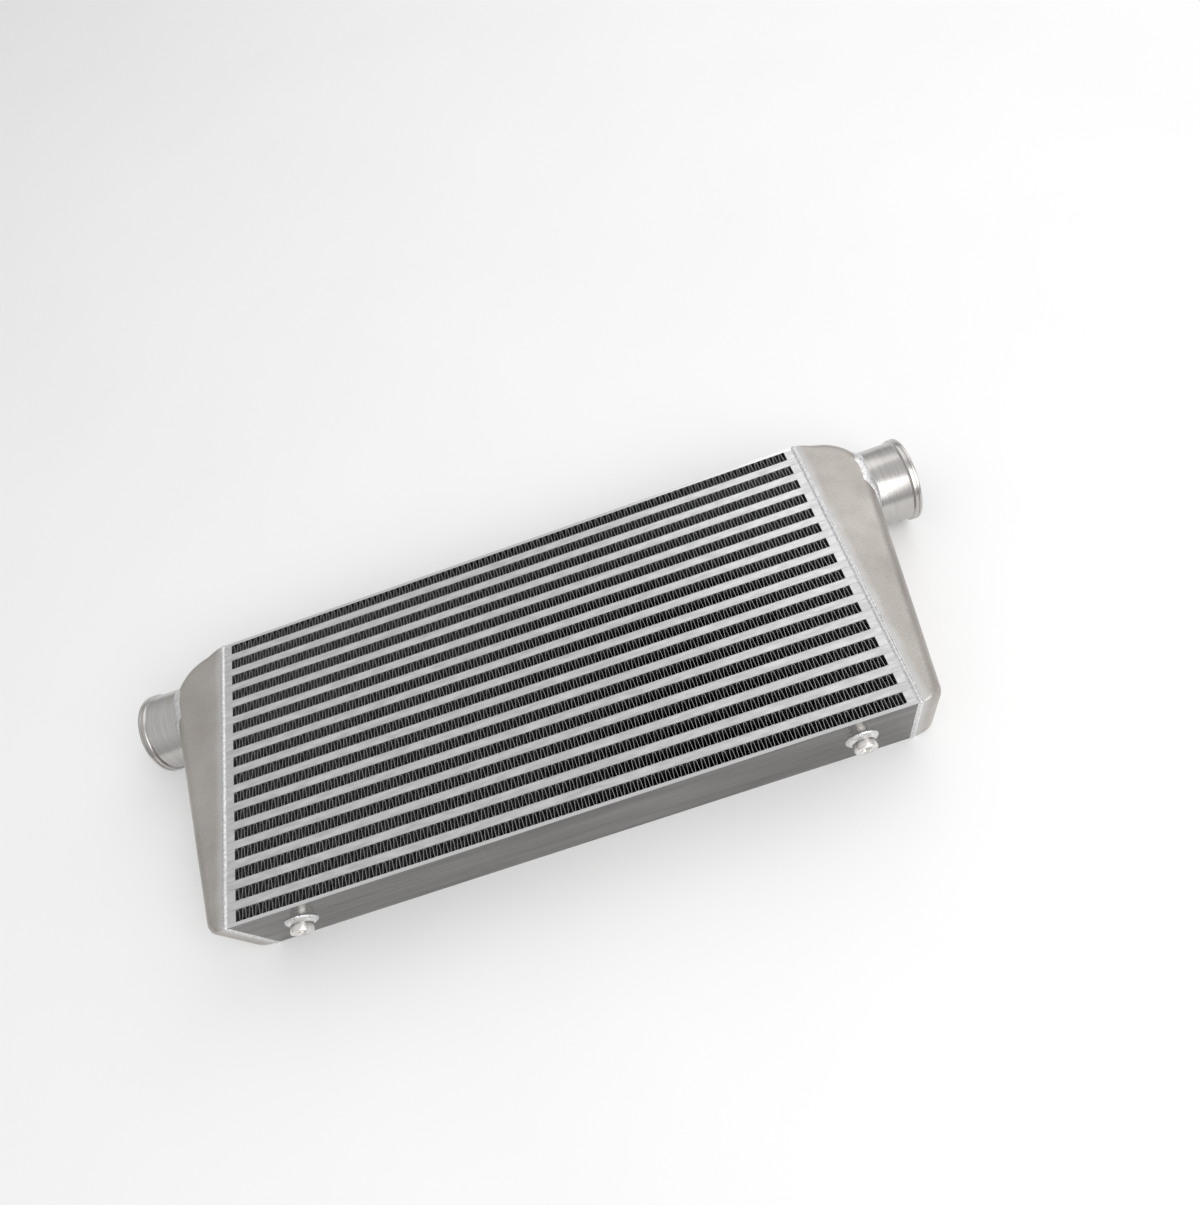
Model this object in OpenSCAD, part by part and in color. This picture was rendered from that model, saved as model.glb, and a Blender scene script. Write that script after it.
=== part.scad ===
// Bar-and-plate hydraulic oil cooler.
// The cooler lies on its back: X runs along the core from the left tank to the right tank, Y runs up
// the core height, and Z is the air direction, from the back face at z = 0 to the front face.
// The origin is the middle of the back face of the core.
// Oil passages and air rows are stacked in Y; oil flows along X and air flows along Z.

/* [Core] */
// Length of the core between the two tanks
core_l = 600; // [500:10:700]
// Depth of the core in the air direction
core_d = 80; // [80:1:100]
// Number of air rows; there is one oil passage fewer
air_rows = 16; // [14:1:16]
// Height of one air row
air_h = 10; // [9:0.5:12]
// Height of one oil passage, between its two parting sheets
oil_h = 6.4; // [6:0.2:8]
// Thickness of a parting sheet
sheet_t = 0.6; // [0.5:0.1:1]
// Thickness of the top and bottom side plates
plate_t = 3; // [2:0.5:4]
// Width of the short bar that closes each end of an air row
short_bar_w = 10; // [8:1:14]
// Depth of the long bar that closes the front and the back of an oil passage
long_bar_w = 6; // [5:0.5:8]

/* [Fins] */
// Waves in one air fin
air_waves = 96; // [48:2:110]
// Sheet thickness of an air fin
air_fin_t = 0.35; // [0.2:0.05:0.5]
// Waves in one oil turbulator
oil_waves = 15; // [8:1:18]
// Sheet thickness of an oil turbulator
oil_fin_t = 0.4; // [0.3:0.05:0.5]

/* [Tanks] */
// Wall thickness of a tank
tank_wall = 3; // [2.5:0.5:4]
// Outer radius of the shoulder at the top of a tank
shoulder_r = 46; // [44:1:48]
// How far the centre of the shoulder stands out from the end of the core
shoulder_out = 10; // [8:1:14]
// Angle between the sloping outer wall and the end of the core
taper = 9; // [7:0.5:10]

/* [Spigots] */
// Outside diameter of a hose spigot
spigot_d = 76; // [70:1:76]
// Wall thickness of a spigot
spigot_wall = 3; // [2.5:0.5:4]
// Outside diameter of the rim that keeps the hose on
rim_d = 80; // [78:1:80]
// Length of the rim along the spigot
rim_w = 7; // [6:1:10]
// Distance from the end of the core to the mouth of a spigot
spigot_reach = 92; // [88:1:110]
// Height of the spigot axis above the middle of the core
spigot_y = 90; // [84:1:92]

/* [Mounting bosses] */
// Distance between the two mounting bosses
boss_gap = 506; // [300:2:540]
// Diameter of the collar that is welded to the side plate
boss_collar_d = 24; // [22:1:30]
// Height of the collar
boss_collar_h = 3; // [2:1:5]
// Diameter of the neck of a boss
boss_neck_d = 20; // [17:1:21]
// Height of a boss above the side plate
boss_h = 11; // [10:1:20]
// Diameter of the tapped hole in a boss
boss_hole_d = 10; // [8:1:12]
// Depth of the tapped hole in a boss
boss_hole_depth = 9; // [8:1:9]

/* [Hidden] */
$fn = 96;
oil_passages = air_rows - 1;
row_pitch = air_h + oil_h + 2 * sheet_t;
core_h = air_rows * air_h + oil_passages * (oil_h + 2 * sheet_t) + 2 * plate_t;
half_l = core_l / 2;
half_h = core_h / 2;
mid_z = core_d / 2;
// Part of one wave taken by each flat crest, and how much a leg's slope widens the fold
crest_share = 0.18;
fold_skew = 0.42;
// Flat steps around the shoulder of a tank
shoulder_steps = 20;
// Distance from the end of the core to the inner end of a spigot
spigot_start = 32;
// Size of the weld around each spigot and each boss
spigot_weld = 3;
boss_weld = 2.5;
// Width and height of the weld between a tank and the core
tank_weld_w = 5;
tank_weld_h = 1.2;
// Rounding of the rim's edges
rim_edge = 1.2;
// Extra length of a cutting shape past the face it cuts
cut = 1;

function two_digits(i) = str(i < 10 ? "0" : "", i);
function air_fin_name(i) = str("air_fin_", two_digits(i));
function oil_turbulator_name(i) = str("oil_turbulator_", two_digits(i));

// Rows and passages are counted from the top of the core; each function gives a lower edge in Y
function air_y(i) = half_h - plate_t - air_h - (i - 1) * row_pitch;
function oil_y(i) = air_y(i) - sheet_t - oil_h;

// ---- folded sheets ----

// One face of a folded sheet: flat crests joined by sloping legs. side is 1 for the lower face of
// the sheet and -1 for the upper face, which folds one sheet thickness further in.
function fold_face(length, h, waves, t, side) =
    let (
        pitch = length / waves,
        flat = pitch * crest_share / 2,
        skew = side * t * fold_skew,
        low = side > 0 ? 0 : t,
        turns = [flat + skew, pitch / 2 - flat + skew, pitch / 2 + flat - skew, pitch - flat - skew],
        heights = [low, low + h - t, low + h - t, low]
    )
    [for (k = [0:waves - 1], p = [0:3]) [pitch * k + turns[p], heights[p]]];

function reversed(list) = [for (k = [len(list) - 1:-1:0]) list[k]];

// A sheet of thickness t folded into waves along the first axis, h high along the second
module folded_sheet(length, h, waves, t) {
    polygon(concat(
        [[0, 0]], fold_face(length, h, waves, t, 1), [[length, 0], [length, t]],
        reversed(fold_face(length, h, waves, t, -1)), [[0, t]]
    ));
}

module air_fin(i) {
    fin_l = core_l - 2 * short_bar_w;
    color("dimgray")
        translate([-fin_l / 2, air_y(i), 0])
            linear_extrude(height = core_d) folded_sheet(fin_l, air_h, air_waves, air_fin_t);
}

module oil_turbulator(i) {
    fin_w = core_d - 2 * long_bar_w;
    color("darkgray")
        translate([-half_l, oil_y(i), core_d - long_bar_w])
            rotate([0, 90, 0])
                linear_extrude(height = core_l) folded_sheet(fin_w, oil_h, oil_waves, oil_fin_t);
}

// ---- plates, sheets and bars of the core ----

module side_plate(y) {
    color("gainsboro") translate([-half_l, y, 0]) cube([core_l, plate_t, core_d]);
}

module parting_sheets() {
    color("silver")
        for (i = [1:oil_passages], y = [oil_y(i) - sheet_t, oil_y(i) + oil_h])
            translate([-half_l, y, 0]) cube([core_l, sheet_t, core_d]);
}

module long_bars(z) {
    color("lightgray")
        for (i = [1:oil_passages])
            translate([-half_l, oil_y(i), z]) cube([core_l, oil_h, long_bar_w]);
}

module short_bars(x) {
    color("lightgray")
        for (i = [1:air_rows])
            translate([x, air_y(i), 0]) cube([short_bar_w, air_h, core_d]);
}

// ---- tanks, spigots and their welds, drawn from the end of the core at x = 0 outwards ----

// Puts a shape drawn for one end of the core at the left end (side = -1) or the right end (side = 1)
module at_end(side) {
    if (side > 0) translate([half_l, 0, 0]) children();
    else mirror([1, 0, 0]) translate([half_l, 0, 0]) children();
}

// Outline of a tank: a round shoulder at the top and a straight wall that slopes in towards the
// bottom. grow moves the outline outwards, or inwards where it is negative; the open side is at
// x = -back.
function tank_points(grow, back) =
    let (
        r = shoulder_r + grow,
        centre_y = half_h - shoulder_r,
        sweep = 90 + taper,
        bottom_y = -half_h - grow,
        wall_x = shoulder_out + r * cos(taper),
        wall_y = centre_y - r * sin(taper)
    )
    concat(
        [[-back, bottom_y], [-back, half_h + grow]],
        [for (k = [0:shoulder_steps])
            let (a = 90 - sweep * k / shoulder_steps)
            [shoulder_out + r * cos(a), centre_y + r * sin(a)]],
        [[wall_x - (wall_y - bottom_y) * tan(taper), bottom_y]]
    );

module tank_block(grow, back, wall) {
    translate([0, 0, wall])
        linear_extrude(height = core_d - 2 * wall) polygon(tank_points(grow, back));
}

module on_spigot_axis() {
    translate([0, spigot_y, mid_z]) rotate([0, 90, 0]) children();
}

module tank(side) {
    color("darkgray")
        at_end(side)
            difference() {
                tank_block(0, 0, 0);
                tank_block(-tank_wall, cut, tank_wall);
                on_spigot_axis() translate([0, 0, spigot_start]) cylinder(d = spigot_d, h = spigot_reach);
            }
}

module spigot(side) {
    outer = spigot_d / 2;
    bore = outer - spigot_wall;
    rim = rim_d / 2;
    rim_start = spigot_reach - rim_w;
    color("silver")
        at_end(side)
            on_spigot_axis()
                rotate_extrude()
                    polygon([
                        [bore, spigot_start], [outer, spigot_start], [outer, rim_start],
                        [rim, rim_start + rim - outer], [rim, spigot_reach - rim_edge],
                        [rim - rim_edge, spigot_reach], [bore, spigot_reach]
                    ]);
}

// The weld lies on the front, top and bottom of the joint between a tank and the core. The joint on
// the back is dressed flush, so that the cooler lies flat.
module tank_weld(side) {
    color("white")
        at_end(side)
            difference() {
                translate([-tank_weld_w / 2, -half_h - tank_weld_h, 0])
                    cube([tank_weld_w, core_h + 2 * tank_weld_h, core_d + tank_weld_h]);
                translate([-tank_weld_w, -half_h, -cut])
                    cube([2 * tank_weld_w, core_h, core_d + cut]);
            }
}

module spigot_weld_ring(side) {
    color("white")
        at_end(side)
            difference() {
                intersection() {
                    tank_block(spigot_weld, 0, 0);
                    on_spigot_axis()
                        translate([0, 0, spigot_start])
                            cylinder(d = spigot_d + 2 * spigot_weld, h = spigot_reach);
                }
                tank_block(0, cut, 0);
                on_spigot_axis() cylinder(d = spigot_d, h = 2 * spigot_reach);
            }
}

// ---- mounting bosses on the bottom side plate ----

module on_boss_axis(side) {
    translate([side * boss_gap / 2, -half_h, mid_z]) rotate([90, 0, 0]) children();
}

module boss(side) {
    color("silver")
        on_boss_axis(side)
            difference() {
                union() {
                    cylinder(d = boss_collar_d, h = boss_collar_h);
                    cylinder(d = boss_neck_d, h = boss_h);
                }
                translate([0, 0, boss_h - boss_hole_depth])
                    cylinder(d = boss_hole_d, h = boss_hole_depth + cut);
            }
}

module boss_weld_ring(side) {
    inner = boss_collar_d / 2;
    color("white")
        on_boss_axis(side)
            rotate_extrude()
                polygon([[inner, 0], [inner + boss_weld, 0], [inner, boss_weld]]);
}

side_plate(half_h - plate_t);  // top_side_plate
side_plate(-half_h);  // bottom_side_plate
parting_sheets();
long_bars(core_d - long_bar_w);  // front_long_bars
long_bars(0);  // rear_long_bars
short_bars(-half_l);  // left_short_bars
short_bars(half_l - short_bar_w);  // right_short_bars
for (i = [1:air_rows])
    air_fin(i);
for (i = [1:oil_passages])
    oil_turbulator(i);
tank(-1);  // left_tank
tank(1);  // right_tank
spigot(-1);  // left_spigot
spigot(1);  // right_spigot
tank_weld(-1);  // left_tank_weld
tank_weld(1);  // right_tank_weld
spigot_weld_ring(-1);  // left_spigot_weld
spigot_weld_ring(1);  // right_spigot_weld
boss(-1);  // left_boss
boss(1);  // right_boss
boss_weld_ring(-1);  // left_boss_weld
boss_weld_ring(1);  // right_boss_weld
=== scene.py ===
import math
import random

import bmesh
import bpy
from mathutils import Euler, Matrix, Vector


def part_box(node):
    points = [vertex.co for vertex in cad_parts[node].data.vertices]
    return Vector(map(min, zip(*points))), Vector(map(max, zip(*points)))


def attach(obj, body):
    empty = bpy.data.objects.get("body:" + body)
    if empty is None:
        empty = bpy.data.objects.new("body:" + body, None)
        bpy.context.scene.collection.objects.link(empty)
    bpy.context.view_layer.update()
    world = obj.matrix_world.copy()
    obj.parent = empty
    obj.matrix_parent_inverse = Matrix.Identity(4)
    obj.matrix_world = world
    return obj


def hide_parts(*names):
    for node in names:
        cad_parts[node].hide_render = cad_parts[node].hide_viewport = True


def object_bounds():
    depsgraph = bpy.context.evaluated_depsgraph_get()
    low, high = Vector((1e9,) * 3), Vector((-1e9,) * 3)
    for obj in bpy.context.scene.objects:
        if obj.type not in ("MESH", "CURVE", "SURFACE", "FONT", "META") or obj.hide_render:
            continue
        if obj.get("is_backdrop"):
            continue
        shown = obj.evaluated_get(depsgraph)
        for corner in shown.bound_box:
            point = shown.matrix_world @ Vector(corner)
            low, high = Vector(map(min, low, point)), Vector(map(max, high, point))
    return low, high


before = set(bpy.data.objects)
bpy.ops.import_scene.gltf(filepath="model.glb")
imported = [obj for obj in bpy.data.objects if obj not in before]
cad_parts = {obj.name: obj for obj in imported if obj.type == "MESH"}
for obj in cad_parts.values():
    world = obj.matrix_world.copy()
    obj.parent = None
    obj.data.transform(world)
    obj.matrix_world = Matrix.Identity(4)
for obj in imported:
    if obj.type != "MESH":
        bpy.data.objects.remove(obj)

MM = 0.001
MERGE_DISTANCE = 2e-6
CAD_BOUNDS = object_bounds()

# ---- sizes, read from the frame ----

CORE_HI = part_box("parting_sheets")[1]
HALF_L = CORE_HI.x
CORE_D = CORE_HI.z
HALF_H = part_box("top_side_plate")[1].y
MID_Z = CORE_D / 2

SPIGOT_LO, SPIGOT_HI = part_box("right_spigot")
SPIGOT_Y = (SPIGOT_LO.y + SPIGOT_HI.y) / 2
RIM_R = (SPIGOT_HI.y - SPIGOT_LO.y) / 2
SPIGOT_START = SPIGOT_LO.x - HALF_L
SPIGOT_REACH = SPIGOT_HI.x - HALF_L
RIM_STEP = 2 * MM
PIPE_R = RIM_R - RIM_STEP
PIPE_WALL = 3 * MM

BOSS_LO, BOSS_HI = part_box("right_boss")
BOSS_X = (BOSS_LO.x + BOSS_HI.x) / 2
BOSS_H = -HALF_H - BOSS_LO.y
COLLAR_R = (BOSS_HI.x - BOSS_LO.x) / 2
COLLAR_H = 3 * MM
COLLAR_STEP = 2 * MM
NECK_R = COLLAR_R - COLLAR_STEP
THREAD_R = 5 * MM
THREAD_DEPTH = 9 * MM
THREAD_PITCH = 1.5 * MM
THREAD_RIDGE = 0.75 * MM

WELD_LO, WELD_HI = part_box("right_tank_weld")
TANK_WELD_HALF_W = (WELD_HI.x - WELD_LO.x) / 2
TANK_WELD_H = WELD_HI.z - CORE_D

# Tank outline, in the tank's own u (outwards from the end of the core) and the frame's y
TANK_WALL = 3 * MM
SHOULDER_R = 46 * MM
SHOULDER_U = 10 * MM
SHOULDER_Y = HALF_H - SHOULDER_R
TAPER = math.radians(9)
CORNER_R = 13 * MM
TANK_EDGE_R = 12 * MM
CORE_END_EDGE_R = 0.4 * MM
EDGE_FADE = 22 * MM

AIR_ROWS = sum(name.startswith("air_fin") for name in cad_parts)
AIR_WAVES = 96
OIL_PASSAGES = AIR_ROWS - 1
FIN_SHEET = 0.3 * MM
CREST_R = 1.3 * MM
CREST_POINTS = 6

# Most of a noise texture's values lie between these two
NOISE_LOW = 0.3
NOISE_HIGH = 0.7

# Relief of a plain sheet or bar
GRAIN = 900
GRAIN_DEPTH = 0.03 * MM

# Sockets of the Mix node when it mixes colours
MIX_FIRST = 6
MIX_SECOND = 7
MIX_RESULT = 2


# ---- meshes ----

def grid_faces(rows, columns, wrap_rows=False, wrap_columns=False, first=0):
    """Quads between points that are stored row by row."""
    faces = []
    for i in range(rows if wrap_rows else rows - 1):
        for j in range(columns if wrap_columns else columns - 1):
            next_i = (i + 1) % rows
            next_j = (j + 1) % columns
            faces.append((
                first + i * columns + j,
                first + i * columns + next_j,
                first + next_i * columns + next_j,
                first + next_i * columns + j,
            ))
    return faces


def shade(mesh, sharp_angle):
    """Smooth shading, with a crease where two faces meet at more than sharp_angle degrees."""
    mesh.polygons.foreach_set("use_smooth", [True] * len(mesh.polygons))
    mesh.set_sharp_from_angle(angle=math.radians(sharp_angle))


def close_up(mesh):
    """Joins points that coincide, and turns every face outwards."""
    work = bmesh.new()
    work.from_mesh(mesh)
    bmesh.ops.remove_doubles(work, verts=work.verts, dist=MERGE_DISTANCE)
    bmesh.ops.recalc_face_normals(work, faces=work.faces)
    work.to_mesh(mesh)
    work.free()


def mesh_object(name, points, faces):
    mesh = bpy.data.meshes.new(name)
    mesh.from_pydata([tuple(p) for p in points], [], faces)
    close_up(mesh)
    piece = bpy.data.objects.new(name, mesh)
    bpy.context.scene.collection.objects.link(piece)
    return piece


def finish_piece(piece, material, node, sharp_angle):
    """Shades a piece, gives it its material, hangs it on the root body and hides the CAD node it
    stands for.
    """
    shade(piece.data, sharp_angle)
    piece.data.materials.clear()
    piece.data.materials.append(material)
    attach(piece, "root")
    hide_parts(node)
    return piece


def at_end(side, points):
    """Moves points drawn outwards from the end of the core to the right end (1) or left end (-1)."""
    return [Vector((side * (HALF_L + p[0]), p[1], p[2])) for p in points]


def ring_points(profile, segments, place):
    """Sweeps a closed profile of (radius, height) pairs round an axis."""
    points = []
    for i in range(segments):
        angle = 2 * math.pi * i / segments
        for radius, height in profile:
            points.append(place(radius, angle, height))
    return points


def about_spigot(radius, angle, u):
    return Vector((u, SPIGOT_Y + radius * math.cos(angle), MID_Z + radius * math.sin(angle)))


def about_boss(side):
    def place(radius, angle, height):
        x = side * BOSS_X + radius * math.cos(angle)
        return Vector((x, -HALF_H - height, MID_Z + radius * math.sin(angle)))
    return place


# ---- node materials ----

def new_material(name, metallic, roughness):
    material = bpy.data.materials.new(name)
    material.use_nodes = True
    shader = material.node_tree.nodes["Principled BSDF"]
    shader.inputs["Metallic"].default_value = metallic
    shader.inputs["Roughness"].default_value = roughness
    return material, shader


def object_space(tree, stretch):
    """Object coordinates, stretched so that noise of a given scale is finer along some axes."""
    coordinates = tree.nodes.new("ShaderNodeTexCoord")
    mapping = tree.nodes.new("ShaderNodeMapping")
    mapping.inputs["Scale"].default_value = stretch
    tree.links.new(coordinates.outputs["Object"], mapping.inputs["Vector"])
    return mapping.outputs["Vector"]


def noise(tree, vector, scale, detail=4.0, roughness=0.55):
    texture = tree.nodes.new("ShaderNodeTexNoise")
    texture.inputs["Scale"].default_value = scale
    texture.inputs["Detail"].default_value = detail
    texture.inputs["Roughness"].default_value = roughness
    tree.links.new(vector, texture.inputs["Vector"])
    return texture.outputs["Fac"]


def ramp(tree, value, low, high, dark, light):
    """Colours from dark to light as value goes from low to high."""
    stops = tree.nodes.new("ShaderNodeValToRGB")
    stops.color_ramp.elements[0].position = low
    stops.color_ramp.elements[0].color = (*dark, 1)
    stops.color_ramp.elements[1].position = high
    stops.color_ramp.elements[1].color = (*light, 1)
    tree.links.new(value, stops.inputs["Fac"])
    return stops.outputs["Color"]


def remap(tree, value, from_low, from_high, to_low, to_high):
    mapped = tree.nodes.new("ShaderNodeMapRange")
    mapped.inputs["From Min"].default_value = from_low
    mapped.inputs["From Max"].default_value = from_high
    mapped.inputs["To Min"].default_value = to_low
    mapped.inputs["To Max"].default_value = to_high
    tree.links.new(value, mapped.inputs["Value"])
    return mapped.outputs["Result"]


def arithmetic(tree, operation, first, second):
    """One math step; each side is a socket or a number."""
    step = tree.nodes.new("ShaderNodeMath")
    step.operation = operation
    for socket, value in zip(step.inputs, (first, second)):
        if isinstance(value, (int, float)):
            socket.default_value = value
        else:
            tree.links.new(value, socket)
    return step.outputs["Value"]


def blend_colours(tree, factor, first, second):
    """From the first colour to the second as factor rises; each is a socket or a colour."""
    mix = tree.nodes.new("ShaderNodeMix")
    mix.data_type = "RGBA"
    tree.links.new(factor, mix.inputs["Factor"])
    for socket, value in ((mix.inputs[MIX_FIRST], first), (mix.inputs[MIX_SECOND], second)):
        if isinstance(value, tuple):
            socket.default_value = (*value, 1)
        else:
            tree.links.new(value, socket)
    return mix.outputs[MIX_RESULT]


def bump(tree, shader, height, strength, distance):
    relief = tree.nodes.new("ShaderNodeBump")
    relief.inputs["Strength"].default_value = strength
    relief.inputs["Distance"].default_value = distance
    tree.links.new(height, relief.inputs["Height"])
    tree.links.new(relief.outputs["Normal"], shader.inputs["Normal"])


def noise_roughness(tree, shader, texture, smooth, rough):
    """Gloss that varies with a noise texture."""
    uneven = remap(tree, texture, NOISE_LOW, NOISE_HIGH, smooth, rough)
    tree.links.new(uneven, shader.inputs["Roughness"])


def grey(value, warmth=0.0):
    """A grey as a linear colour; warmth shifts it from blue towards red."""
    return (value * (1 + warmth), value, value * (1 - warmth))


def metal(name, greys, gloss, stretch, scale, grain, depth, warmth=0.0):
    """Aluminium with uneven colour and gloss, and a grain in its surface.

    greys and gloss are the ranges of colour and roughness. stretch and scale set the broad
    unevenness, grain the scale of the fine relief and depth its size.
    """
    dark, light = greys
    smooth, rough = gloss
    material, shader = new_material(name, 1.0, rough)
    tree = material.node_tree
    space = object_space(tree, stretch)
    broad = noise(tree, space, scale)
    tree.links.new(
        ramp(tree, broad, 0.32, 0.68, grey(dark, warmth), grey(light, warmth)),
        shader.inputs["Base Color"],
    )
    noise_roughness(tree, shader, noise(tree, space, scale * 2.3), smooth, rough)
    bump(tree, shader, noise(tree, space, grain, 3.0, 0.6), 0.6, depth)
    return material


def bar_metal():
    """Extruded bar, its streaks along X."""
    return metal("bar_metal", (0.56, 0.74), (0.30, 0.46), (1, 4, 4), 60, GRAIN, GRAIN_DEPTH)


def sheet_metal():
    return metal("sheet_metal", (0.42, 0.60), (0.34, 0.50), (1, 3, 3), 90, GRAIN, GRAIN_DEPTH)


def turbulator_metal():
    return metal("turbulator_metal", (0.34, 0.52), (0.35, 0.5), (1, 1, 1), 90, GRAIN, GRAIN_DEPTH)


def plate_metal(name, dark, light):
    """Mill-finish sheet: rolling lines along X, and bright edges where it faces along Z, partly the
    real cut edge and partly a painted highlight.
    """
    material, shader = new_material(name, 1.0, 0.25)
    tree = material.node_tree
    space = object_space(tree, (1, 12, 12))
    dark_grey = grey(dark, 0.05)
    light_grey = grey(light, 0.04)
    rolled = ramp(tree, noise(tree, space, 7), NOISE_LOW, NOISE_HIGH, dark_grey, light_grey)
    surface = tree.nodes.new("ShaderNodeNewGeometry")
    facing = tree.nodes.new("ShaderNodeSeparateXYZ")
    tree.links.new(surface.outputs["Normal"], facing.inputs["Vector"])
    # Edges facing along Z painted bright: partly the real cut edge, partly a painted highlight where
    # the edge faces the light
    cut_edge_and_highlight = remap(tree, arithmetic(tree, "ABSOLUTE", facing.outputs["Z"], 0), 0.3, 0.7, 0, 1)
    tree.links.new(blend_colours(tree, cut_edge_and_highlight, rolled, grey(0.70)), shader.inputs["Base Color"])
    noise_roughness(tree, shader, noise(tree, space, 12), 0.16, 0.30)
    bump(tree, shader, noise(tree, space, 260, 3), 0.5, 0.015 * MM)
    return material


def fin_metal():
    """Thin folded sheet, dull, with louvre lines across the air's way."""
    material, shader = new_material("fin_metal", 1.0, 0.5)
    tree = material.node_tree
    space = object_space(tree, (1, 1, 1))
    tree.links.new(
        ramp(tree, noise(tree, space, 130), NOISE_LOW, NOISE_HIGH, grey(0.42), grey(0.60)),
        shader.inputs["Base Color"],
    )
    noise_roughness(tree, shader, noise(tree, space, 300), 0.36, 0.54)
    louvres = tree.nodes.new("ShaderNodeTexWave")
    louvres.bands_direction = "Z"
    louvres.inputs["Scale"].default_value = 220
    tree.links.new(space, louvres.inputs["Vector"])
    bump(tree, shader, louvres.outputs["Fac"], 0.5, 0.12 * MM)
    return material


def tank_metal():
    """Blasted cast aluminium: matt, warm grey, with an etched pale band beside the core weld."""
    material, shader = new_material("tank_metal", 1.0, 0.5)
    tree = material.node_tree
    space = object_space(tree, (1, 1, 1))
    patchy = noise(tree, space, 16, 6)
    cast = ramp(tree, patchy, NOISE_LOW, NOISE_HIGH, grey(0.43, 0.07), grey(0.54, 0.06))
    speck = ramp(tree, noise(tree, space, 700, 2), 0.35, 0.65, grey(0.86), grey(1.0))
    toned = tree.nodes.new("ShaderNodeMix")
    toned.data_type = "RGBA"
    toned.blend_type = "MULTIPLY"
    toned.inputs["Factor"].default_value = 1.0
    tree.links.new(cast, toned.inputs[MIX_FIRST])
    tree.links.new(speck, toned.inputs[MIX_SECOND])
    axes = tree.nodes.new("ShaderNodeSeparateXYZ")
    tree.links.new(space, axes.inputs["Vector"])
    reach = arithmetic(tree, "ABSOLUTE", axes.outputs["X"], 0)
    wobble = arithmetic(tree, "MULTIPLY", noise(tree, space, 45), 8 * MM)
    band_edge = arithmetic(tree, "SUBTRACT", reach, wobble)
    band = remap(tree, band_edge, HALF_L, HALF_L + 5 * MM, 0.8, 0)
    colour = blend_colours(tree, band, toned.outputs[MIX_RESULT], grey(0.60, 0.01))
    tree.links.new(colour, shader.inputs["Base Color"])
    noise_roughness(tree, shader, noise(tree, space, 40), 0.40, 0.56)
    bump(tree, shader, noise(tree, space, 420, 5, 0.65), 0.5, 0.25 * MM)
    return material


def turned_metal(name, greys, stretch):
    """Lathe-turned aluminium, with tool rings round the axis that stretch is fine along."""
    return metal(name, greys, (0.21, 0.29), stretch, 22, 60, 0.004 * MM, 0.03)


def weld_metal():
    """Bright rippled bead with grey soot specks."""
    material, shader = new_material("weld_metal", 1.0, 0.3)
    tree = material.node_tree
    space = object_space(tree, (1, 1, 1))
    tree.links.new(
        ramp(tree, noise(tree, space, 420, 3), 0.36, 0.60, grey(0.60), grey(0.82)),
        shader.inputs["Base Color"],
    )
    noise_roughness(tree, shader, noise(tree, space, 500), 0.30, 0.50)
    bump(tree, shader, noise(tree, space, 900, 3), 0.5, 0.06 * MM)
    return material


# ---- core ----

def fin_crests(length, height, chance):
    """Centre line of one folded sheet as (x, y), with a rounded crest at each fold."""
    spread = math.radians(84)
    unevenness = 0.07 * MM
    half_pitch = length / AIR_WAVES / 2
    line = []
    for crest in range(2 * AIR_WAVES):
        centre = (crest + 0.5) * half_pitch - length / 2 + chance.gauss(0, unevenness)
        up = crest % 2 == 0
        for k in range(CREST_POINTS):
            angle = -spread + 2 * spread * k / (CREST_POINTS - 1)
            x = centre + CREST_R * math.sin(angle)
            drop = CREST_R * (1 - math.cos(angle))
            line.append((x, height - drop if up else drop))
    return line


def bent_over(row, x, y, height):
    """How far the front of a fin is knocked over: one small patch of one row is."""
    bent_row = 14
    patch_x = 8 * MM
    patch_half_w = 17 * MM
    push = 1.5 * MM
    if row != bent_row or abs(x - patch_x) > patch_half_w:
        return 0.0
    share = math.cos(math.pi / 2 * (x - patch_x) / patch_half_w)
    return push * share * math.sin(math.pi * min(1, y / height))


def sheet_normals(line):
    """Half the sheet's thickness, square to it, at each point of its centre line."""
    normals = []
    for k in range(len(line)):
        before = line[max(0, k - 1)]
        after = line[min(len(line) - 1, k + 1)]
        run = Vector((after[0] - before[0], after[1] - before[1])).normalized()
        normals.append(Vector((-run.y, run.x)) * FIN_SHEET / 2)
    return normals


def sheet_faces(sections, count):
    """Faces of a folded sheet: both sides, its two ends, and its back and front edges."""
    faces = grid_faces(sections, 2 * count)
    seam = count - 1
    faces = [f for f in faces if (f[0] % (2 * count)) != seam]
    for section in range(sections - 1):
        a = section * 2 * count
        b = a + 2 * count
        faces.append((a, a + count, b + count, b))
        faces.append((a + seam, a + count + seam, b + count + seam, b + seam))
    for section in (0, sections - 1):
        a = section * 2 * count
        for k in range(count - 1):
            faces.append((a + k, a + k + 1, a + count + k + 1, a + count + k))
    return faces


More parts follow.
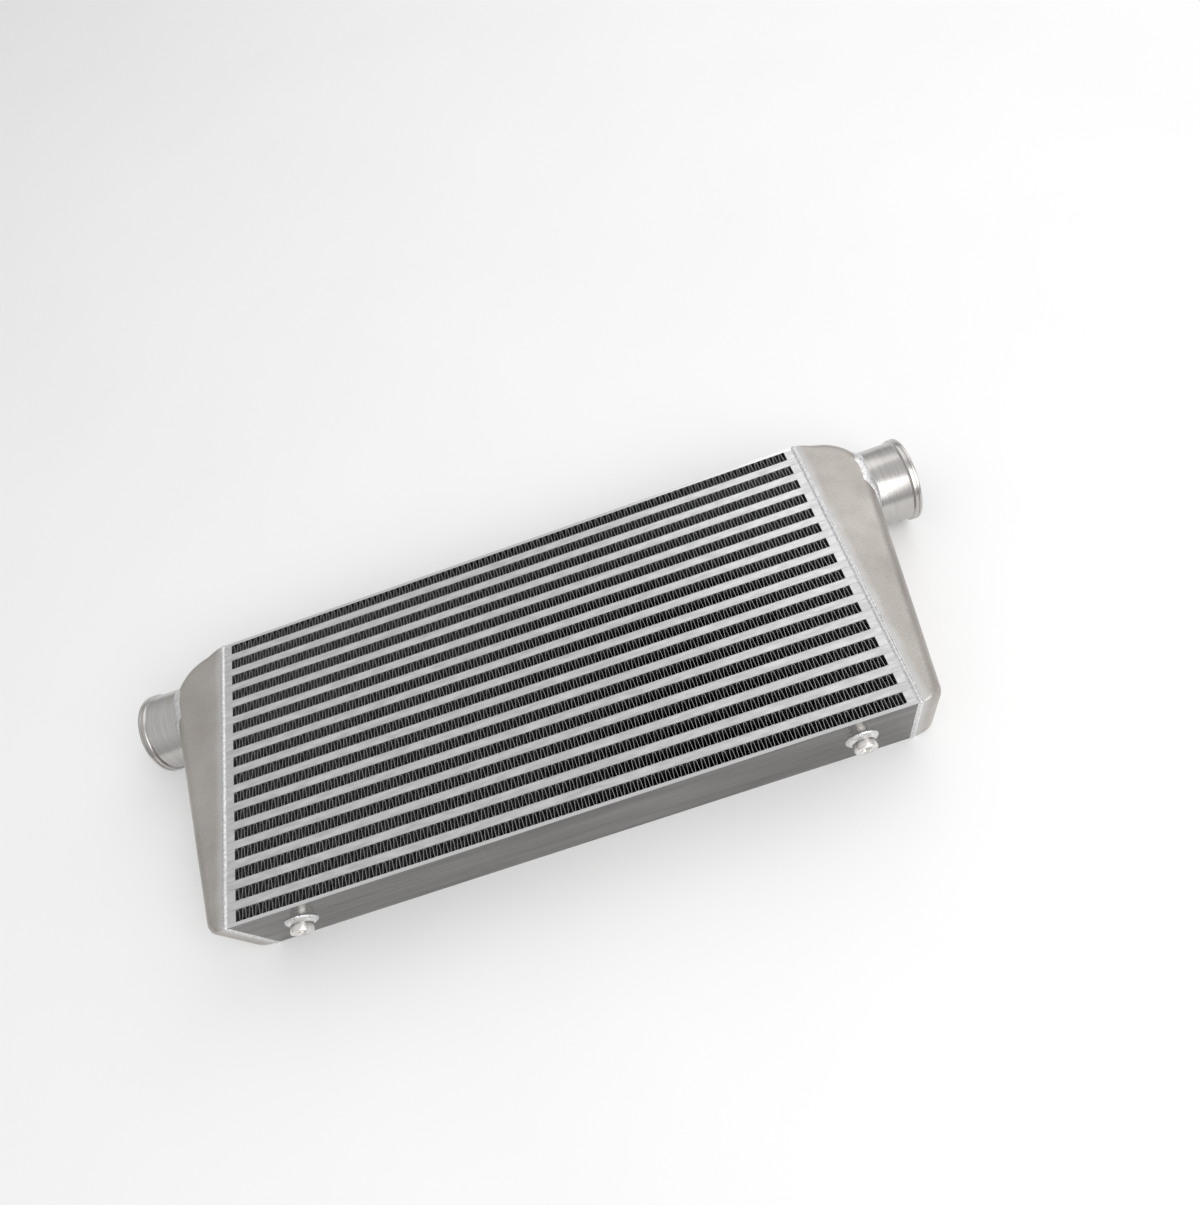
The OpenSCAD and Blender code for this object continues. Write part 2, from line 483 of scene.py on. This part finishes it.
def air_fin(row, material):
    """One air row's folded sheet, with slightly uneven folds and front edges."""
    node = f"air_fin_{row:02d}"
    low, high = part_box(node)
    height = high.y - low.y - FIN_SHEET
    chance = random.Random(row)
    line = fin_crests(high.x - low.x, height, chance)
    normals = sheet_normals(line)
    front_inset = 0.35 * MM
    raggedness = 0.35 * MM
    # Sections along the air's way, close together behind the front edge, which is bent in one row
    depths = [0, 2 * MM, CORE_D / 2, CORE_D - 9 * MM, CORE_D - 3 * MM, CORE_D - front_inset]
    ragged = [chance.uniform(0, raggedness) for _ in line]
    points = []
    for section, z in enumerate(depths):
        at_front = section == len(depths) - 1
        for side in (1, -1):
            for k, (x, y) in enumerate(line):
                lean = bent_over(row, x, y, height) if at_front else 0.0
                crest_start = k // CREST_POINTS * CREST_POINTS
                points.append(Vector((
                    x + side * normals[k].x + lean,
                    low.y + FIN_SHEET / 2 + y + side * normals[k].y,
                    z - (ragged[crest_start] if at_front else 0.0),
                )))
    piece = mesh_object(f"fin_{row:02d}", points, sheet_faces(len(depths), len(line)))
    return finish_piece(piece, material, node, 50)


def dress_node(name, material, edge=0.0):
    """Gives a CAD node its material, and softens its edges where edge is the radius."""
    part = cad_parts[name]
    part.data.materials.clear()
    part.data.materials.append(material)
    if edge:
        rounding = part.modifiers.new("soft_edges", "BEVEL")
        rounding.width = edge
        rounding.segments = 2
        rounding.limit_method = "ANGLE"
        rounding.angle_limit = math.radians(40)
        rounding.harden_normals = True


def build_core():
    bars = bar_metal()
    for name in ("front_long_bars", "rear_long_bars", "left_short_bars", "right_short_bars"):
        dress_node(name, bars, 0.45 * MM)
    dress_node("top_side_plate", plate_metal("top_plate_metal", 0.34, 0.46), 0.4 * MM)
    # The bottom plate is painted darker than the top plate: painted shade standing in for the dark
    # reflection in its face
    dress_node("bottom_side_plate", plate_metal("bottom_plate_painted_dark", 0.09, 0.18), 0.4 * MM)
    dress_node("parting_sheets", sheet_metal())
    folded = turbulator_metal()
    for passage in range(1, OIL_PASSAGES + 1):
        dress_node(f"oil_turbulator_{passage:02d}", folded)
    fins = fin_metal()
    for row in range(1, AIR_ROWS + 1):
        air_fin(row, fins)


# ---- tanks ----

def arc(centre, radius, start, stop, steps):
    """(point, outward direction) pairs round an arc; angles in degrees."""
    pairs = []
    for k in range(steps + 1):
        angle = math.radians(start + (stop - start) * k / steps)
        outward = Vector((math.cos(angle), math.sin(angle)))
        pairs.append((centre + radius * outward, outward))
    return pairs


def straight(start, stop, outward, steps):
    return [(start.lerp(stop, k / steps), outward) for k in range(1, steps)]


def tank_outline():
    """The tank's outline from the top of the core round to the bottom, each point with its outward
    direction: top, round shoulder, sloping wall, small corner, bottom."""
    taper = math.degrees(TAPER)
    wall_out = Vector((math.cos(TAPER), -math.sin(TAPER)))
    shoulder = arc(Vector((SHOULDER_U, SHOULDER_Y)), SHOULDER_R, 90, -taper, 26)
    wall_top = shoulder[-1][0]
    corner_y = -HALF_H + CORNER_R
    run = (wall_top.y - corner_y - CORNER_R * math.sin(TAPER)) * math.tan(TAPER)
    corner_u = wall_top.x - run - CORNER_R * math.cos(TAPER)
    corner = arc(Vector((corner_u, corner_y)), CORNER_R, -taper, -90, 8)
    top = straight(Vector((0, HALF_H)), shoulder[0][0], Vector((0, 1)), 6)
    bottom = straight(corner[-1][0], Vector((0, -HALF_H)), Vector((0, -1)), 6)
    wall = straight(wall_top, corner[0][0], wall_out, 10)
    ends = ((Vector((0, HALF_H)), Vector((0, 1))), (Vector((0, -HALF_H)), Vector((0, -1))))
    return [ends[0]] + top + shoulder + wall + corner + bottom + [ends[1]]


def edge_radius(u):
    """The rounding of a tank's long edges, which fades out towards the core."""
    share = min(1, u / EDGE_FADE)
    return CORE_END_EDGE_R + (TANK_EDGE_R - CORE_END_EDGE_R) * share * share * (3 - 2 * share)


def tank_section(point, outward, shrink):
    """One section through the tank's skin, from the front face round the side to the back face."""
    radius = max(CORE_END_EDGE_R, edge_radius(point.x) - shrink)
    steps = 7
    rounding = []
    for k in range(steps + 1):
        turn = math.radians(90 * k / steps)
        inset = shrink + radius * (1 - math.sin(turn))
        depth = shrink + radius * (1 - math.cos(turn))
        rounding.append((inset, depth))
    section = []
    for inset, depth in rounding:
        section.append((point - outward * inset, CORE_D - depth))
    for inset, depth in rounding[::-1]:
        section.append((point - outward * inset, depth))
    section = [(Vector((max(0, flat.x), flat.y)), z) for flat, z in section]
    front, back = section[0], section[-1]
    core_front = (Vector((0, front[0].y)), front[1])
    core_back = (Vector((0, back[0].y)), back[1])
    return [core_front] + section + [core_back]


def tank_skin(shrink):
    """Points of the tank's skin, shrunk inwards by that much, and how many rows and columns."""
    rows = [tank_section(p, out, shrink) for p, out in tank_outline()]
    points = [Vector((flat.x, flat.y, z)) for row in rows for flat, z in row]
    return points, len(rows), len(rows[0])


def cut_bore(piece, side):
    """Opens the round hole that the spigot is welded into; the hole's edge lies in the pipe's wall."""
    segments = 96
    hole_r = PIPE_R - 0.4 * MM
    start = SPIGOT_START - 8 * MM
    profile = [(0.0, start), (hole_r, start), (hole_r, SPIGOT_REACH), (0.0, SPIGOT_REACH)]
    points = at_end(side, ring_points(profile, segments, about_spigot))
    cutter = mesh_object("bore_cutter", points, grid_faces(segments, len(profile), True))
    hole = piece.modifiers.new("bore", "BOOLEAN")
    hole.operation = "DIFFERENCE"
    hole.solver = "EXACT"
    hole.object = cutter
    shape = piece.evaluated_get(bpy.context.evaluated_depsgraph_get())
    drilled = bpy.data.meshes.new_from_object(shape)
    piece.modifiers.clear()
    piece.data = drilled
    bpy.data.objects.remove(cutter)


def tank(side, name, material):
    """A hollow cast tank, open where it meets the core and at its spigot."""
    outer, rows, columns = tank_skin(0.0)
    inner = tank_skin(TANK_WALL)[0]
    first = len(outer)
    faces = grid_faces(rows, columns) + grid_faces(rows, columns, first=first)
    for j in (0, columns - 1):
        for i in range(rows - 1):
            a, b = i * columns + j, (i + 1) * columns + j
            faces.append((a, b, first + b, first + a))
    for i in (0, rows - 1):
        for j in range(columns - 1):
            a, b = i * columns + j, i * columns + j + 1
            faces.append((a, b, first + b, first + a))
    piece = mesh_object(f"{name}_tank_shell", at_end(side, outer + inner), faces)
    cut_bore(piece, side)
    return finish_piece(piece, material, f"{name}_tank", 40)


# ---- spigots ----

def spigot_profile():
    """Closed section of a spigot in (radius, u): plain pipe, raised rim with a groove, and bore."""
    bore = PIPE_R - PIPE_WALL
    lip = SPIGOT_REACH
    return [
        (bore, SPIGOT_START), (PIPE_R, SPIGOT_START),
        (PIPE_R, lip - 8.0 * MM), (PIPE_R + 0.15 * MM, lip - 7.6 * MM),
        (RIM_R - 0.3 * MM, lip - 6.6 * MM), (RIM_R, lip - 6.1 * MM),
        (RIM_R, lip - 4.3 * MM), (RIM_R - 0.8 * MM, lip - 3.7 * MM),
        (RIM_R - 0.8 * MM, lip - 3.0 * MM), (RIM_R, lip - 2.4 * MM),
        (RIM_R, lip - 0.9 * MM), (RIM_R - 0.3 * MM, lip - 0.25 * MM), (RIM_R - 0.9 * MM, lip),
        (bore + 1.2 * MM, lip), (bore + 0.4 * MM, lip - 0.3 * MM), (bore, lip - 1.2 * MM),
    ]


def spigot(side, name, material):
    segments = 144
    profile = spigot_profile()
    points = at_end(side, ring_points(profile, segments, about_spigot))
    faces = grid_faces(segments, len(profile), True, True)
    piece = mesh_object(f"{name}_hose_spigot", points, faces)
    return finish_piece(piece, material, f"{name}_spigot", 28)


# ---- welds ----

def ripple(turns):
    """Height share of a bead made of overlapping puddles, one puddle per turn."""
    return abs(math.sin(math.pi * turns))


def wander(chance, count):
    """A smooth closed random wave, from -1 to 1, with count samples."""
    waves = [(chance.randint(2, 23), chance.uniform(0, 2 * math.pi)) for _ in range(6)]
    return [
        sum(math.sin(2 * math.pi * turns * k / count + phase) for turns, phase in waves) / len(waves)
        for k in range(count)
    ]


def tank_outer_u(y, inset):
    """How far the tank's outer wall stands out at height y, inset by that much."""
    radius = SHOULDER_R - inset
    if y > SHOULDER_Y - radius * math.sin(TAPER):
        return SHOULDER_U + math.sqrt(max(0.0, radius ** 2 - (y - SHOULDER_Y) ** 2))
    tangent_u = SHOULDER_U + radius * math.cos(TAPER)
    return tangent_u - (SHOULDER_Y - radius * math.sin(TAPER) - y) * math.tan(TAPER)


def tank_surface_u(y, z):
    """The tank's outer surface outside the spigot, with its rounded edges."""
    past_edge = max(0.0, abs(z - MID_Z) - (MID_Z - TANK_EDGE_R))
    past_edge = min(past_edge, TANK_EDGE_R)
    inset = TANK_EDGE_R - math.sqrt(TANK_EDGE_R ** 2 - past_edge ** 2)
    return tank_outer_u(y, inset)


def spigot_weld(side, name, material):
    """A fillet bead round the line where the pipe meets the tank."""
    leg = 3.6 * MM
    crown = 0.7 * MM
    bedded = 0.8 * MM
    into_pipe = 0.6 * MM
    puddles = 84
    steps = puddles * 6
    across = 8
    chance = random.Random(50 + side)
    drift = wander(chance, steps)
    points = []
    for i in range(steps):
        angle = 2 * math.pi * i / steps
        reach = leg * (1 + 0.10 * drift[i])
        room = (MID_Z - 0.5 * MM) / max(1e-6, abs(math.sin(angle)))
        toe_r = min(PIPE_R + reach, room)
        foot = about_spigot(PIPE_R, angle, 0)
        toe = about_spigot(toe_r, angle, 0)
        pipe_u = tank_surface_u(foot.y, foot.z)
        toe_u = tank_surface_u(toe.y, toe.z)
        start = Vector((PIPE_R - 0.1 * MM, pipe_u + reach))
        stop = Vector((toe_r, toe_u))
        swell = Vector((stop.y - start.y, start.x - stop.x)).normalized()
        if swell.x < 0:
            swell = -swell
        for j in range(across + 1):
            share = j / across
            height = crown * math.sin(math.pi * share)
            height *= 0.78 + 0.22 * ripple(puddles * i / steps + 0.6 * share * (1 - share))
            spot = start.lerp(stop, share) + swell * height
            points.append(about_spigot(spot.x, angle, spot.y))
        points.append(about_spigot(toe_r, angle, toe_u - bedded))
        points.append(about_spigot(PIPE_R - into_pipe, angle, pipe_u - bedded))
    faces = grid_faces(steps, across + 3, True, True)
    piece = mesh_object(f"{name}_spigot_bead", at_end(side, points), faces)
    return finish_piece(piece, material, f"{name}_spigot_weld", 60)


def weld_path():
    """The joint between tank and core, as (y, z, direction out of it): bottom, front, top."""
    corner = 1.5 * MM
    step = 0.42 * MM
    path = []
    depth_steps = round((CORE_D - corner) / step)
    height_steps = round(2 * (HALF_H - corner) / step)
    turn_steps = 6
    for k in range(depth_steps):
        path.append((Vector((-HALF_H, (CORE_D - corner) * k / depth_steps)), Vector((-1, 0))))
    for k in range(turn_steps):
        angle = math.radians(180 - 90 * k / turn_steps)
        outward = Vector((math.cos(angle), math.sin(angle)))
        path.append((Vector((-HALF_H + corner, CORE_D - corner)) + corner * outward, outward))
    for k in range(height_steps + 1):
        y = -HALF_H + corner + 2 * (HALF_H - corner) * k / height_steps
        path.append((Vector((y, CORE_D)), Vector((0, 1))))
    mirrored = [(Vector((-p.x, p.y)), Vector((-out.x, out.y))) for p, out in path]
    return path + mirrored[:depth_steps + turn_steps][::-1]


def tank_weld(side, name, material):
    """A run of small puddles along the joint between a tank and the core."""
    path = weld_path()
    across = 8
    puddle = 2.6 * MM
    bedded = 0.5 * MM
    chance = random.Random(80 + side)
    drift = wander(chance, len(path))
    sway = wander(chance, len(path))
    travelled = 0.0
    points = []
    for i, (spot, outward) in enumerate(path):
        if i:
            travelled += (spot - path[i - 1][0]).length
        half_w = TANK_WELD_HALF_W * (0.97 + 0.03 * drift[i])
        for j in range(across + 1):
            share = 2 * j / across - 1
            height = TANK_WELD_H * math.cos(math.pi / 2 * share) ** 2
            height *= 0.80 + 0.18 * ripple(travelled / puddle + 0.45 * share ** 2)
            flat = spot + outward * height
            u = half_w * share + 0.25 * MM * sway[i]
            points.append(Vector((u, flat.x, flat.y)))
        low = spot - outward * bedded
        points.append(Vector((half_w, low.x, low.y)))
        points.append(Vector((-half_w, low.x, low.y)))
    columns = across + 3
    faces = grid_faces(len(path), columns, False, True)
    faces.append(tuple(range(columns)))
    last = (len(path) - 1) * columns
    faces.append(tuple(range(last, last + columns)))
    piece = mesh_object(f"{name}_core_bead", at_end(side, points), faces)
    return finish_piece(piece, material, f"{name}_tank_weld", 60)


# ---- bosses ----

def boss(side, name, material):
    """Collar and neck turned from one bar, with a tapped hole in the end."""
    segments = 96
    soft = 0.6 * MM
    rounding = 1.2 * MM
    lead_in = 0.9 * MM
    unthreaded = 2.5 * MM
    drill_r = THREAD_R - 0.8 * MM
    drill_round = 1.0 * MM
    drill_point = 1.2 * MM
    thread_turns = round((THREAD_DEPTH - unthreaded) / THREAD_PITCH)
    per_turn = 6
    outside = [
        (COLLAR_R, 0.0), (COLLAR_R, COLLAR_H - soft), (COLLAR_R - soft, COLLAR_H),
        (NECK_R + soft, COLLAR_H), (NECK_R, COLLAR_H + soft), (NECK_R, BOSS_H - rounding),
        (NECK_R - rounding / 3, BOSS_H - rounding / 3), (NECK_R - rounding, BOSS_H),
        (THREAD_R + lead_in, BOSS_H), (THREAD_R, BOSS_H - lead_in),
    ]
    hole_end = BOSS_H - THREAD_DEPTH
    thread_top = BOSS_H - lead_in
    points = []
    place = about_boss(side)
    thread_rows = thread_turns * per_turn
    for i in range(segments):
        turn = i / segments
        angle = 2 * math.pi * turn
        for radius, height in outside:
            points.append(place(radius, angle, height))
        for k in range(1, thread_rows):
            ridge = abs(2 * ((k / per_turn + turn) % 1) - 1)
            height = thread_top - k * THREAD_PITCH / per_turn
            points.append(place(THREAD_R - THREAD_RIDGE * ridge, angle, height))
        points.append(place(drill_r, angle, hole_end + drill_round))
        points.append(place(0.0, angle, hole_end - drill_point))
        points.append(place(0.0, angle, 0.0))
    columns = len(outside) + thread_rows - 1 + 3
    faces = grid_faces(segments, columns, True, True)
    piece = mesh_object(f"{name}_mount_boss", points, faces)
    return finish_piece(piece, material, f"{name}_boss", 30)


def boss_weld(side, name, material):
    """A small fillet bead round the foot of a boss."""
    leg = 2.5 * MM
    crown = 0.55 * MM
    puddles = 40
    steps = puddles * 6
    across = 6
    drift = wander(random.Random(20 + side), steps)
    place = about_boss(side)
    points = []
    for i in range(steps):
        angle = 2 * math.pi * i / steps
        reach = leg * (0.95 + 0.12 * drift[i])
        start = Vector((COLLAR_R - 0.1 * MM, reach))
        stop = Vector((COLLAR_R + reach, 0.0))
        for j in range(across + 1):
            share = j / across
            height = crown * math.sin(math.pi * share)
            height *= 0.4 + 0.6 * ripple(puddles * i / steps + 0.5 * share * (1 - share))
            spot = start.lerp(stop, share) + Vector((height, height)) * 0.7
            points.append(place(spot.x, angle, spot.y))
        points.append(place(COLLAR_R - 0.5 * MM, angle, 0.0))
    faces = grid_faces(steps, across + 2, True, True)
    piece = mesh_object(f"{name}_boss_bead", points, faces)
    return finish_piece(piece, material, f"{name}_boss_weld", 60)


def build_ends():
    cast = tank_metal()
    # Spigot colour darkened: painted shade standing in for the darker reflections on the pipe
    turned = turned_metal("spigot_metal_painted_dark", (0.47, 0.57), (40, 1, 1))
    # Boss colour lightened from the same turned aluminium: painted highlight
    boss_painted_bright = turned_metal("boss_metal_painted_bright", (0.74, 0.90), (1, 40, 1))
    bead = weld_metal()
    for side, name in ((-1, "left"), (1, "right")):
        tank(side, name, cast)
        spigot(side, name, turned)
        spigot_weld(side, name, bead)
        tank_weld(side, name, bead)
        boss(side, name, boss_painted_bright)
        boss_weld(side, name, bead)


# ---- stage, light and camera ----

def floor():
    half = 4.0
    drop = 0.2 * MM
    corners = [(-half, -half, -drop), (half, -half, -drop), (half, half, -drop), (-half, half, -drop)]
    ground = mesh_object("studio_floor", corners, [(0, 1, 2, 3)])
    material, shader = new_material("floor_paint", 0.0, 0.85)
    tree = material.node_tree
    uneven = noise(tree, object_space(tree, (1, 1, 1)), 3)
    tint = ramp(tree, uneven, NOISE_LOW, NOISE_HIGH, grey(0.93), grey(0.95))
    tree.links.new(tint, shader.inputs["Base Color"])
    shader.inputs["Specular IOR Level"].default_value = 0.1
    ground.data.materials.append(material)
    ground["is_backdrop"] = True


def area_light(name, place, aim, width, power):
    """A square soft light of that width in metres."""
    lamp = bpy.data.lights.new(name, "AREA")
    lamp.shape = "RECTANGLE"
    lamp.size = width
    lamp.size_y = width
    lamp.energy = power
    holder = bpy.data.objects.new(name, lamp)
    holder.location = place
    holder.rotation_euler = (Vector(aim) - Vector(place)).to_track_quat("-Z", "Y").to_euler()
    bpy.context.scene.collection.objects.link(holder)


def sky():
    """Pale overcast light, brighter overhead than towards the horizon."""
    world = bpy.data.worlds.new("studio_sky")
    world.use_nodes = True
    tree = world.node_tree
    coordinates = tree.nodes.new("ShaderNodeTexCoord")
    axes = tree.nodes.new("ShaderNodeSeparateXYZ")
    tree.links.new(coordinates.outputs["Generated"], axes.inputs["Vector"])
    shade_of_height = ramp(tree, axes.outputs["Z"], 0.05, 0.75, grey(0.42), grey(0.66))
    background = tree.nodes["Background"]
    tree.links.new(shade_of_height, background.inputs["Color"])
    background.inputs["Strength"].default_value = 1.1
    bpy.context.scene.world = world


def camera():
    """Stands over the front, towards the side with the bosses, and rolled clockwise."""
    place = Vector((130.8, -361.8, 736.2)) * MM
    aim = Vector((76.0, 68.8, 40.0)) * MM
    roll = math.radians(-25.1)
    eye = bpy.data.cameras.new("photo_camera")
    eye.sensor_width = 36.0
    eye.lens = 25.12
    holder = bpy.data.objects.new("photo_camera", eye)
    holder.location = place
    facing = (aim - place).to_track_quat("-Z", "Y").to_matrix()
    turn = Euler((0, 0, roll)).to_matrix()
    holder.rotation_euler = (facing @ turn).to_euler()
    bpy.context.scene.collection.objects.link(holder)
    bpy.context.scene.camera = holder


def light_up():
    area_light("key_light", place=(1.5, 1.6, 1.9), aim=(0.1, 0.0, 0.0), width=2.2, power=12)
    area_light("fill_light", place=(1.3, -1.6, 2.0), aim=(0.0, 0.0, 0.0), width=2.4, power=38)


def write_sizes():
    boxes = {"cad": CAD_BOUNDS, "visual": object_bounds()}
    plain = {name: [list(corner) for corner in box] for name, box in boxes.items()}


camera()
floor()
sky()
light_up()
build_core()
build_ends()
bpy.context.scene.view_settings.view_transform = "Standard"
write_sizes()
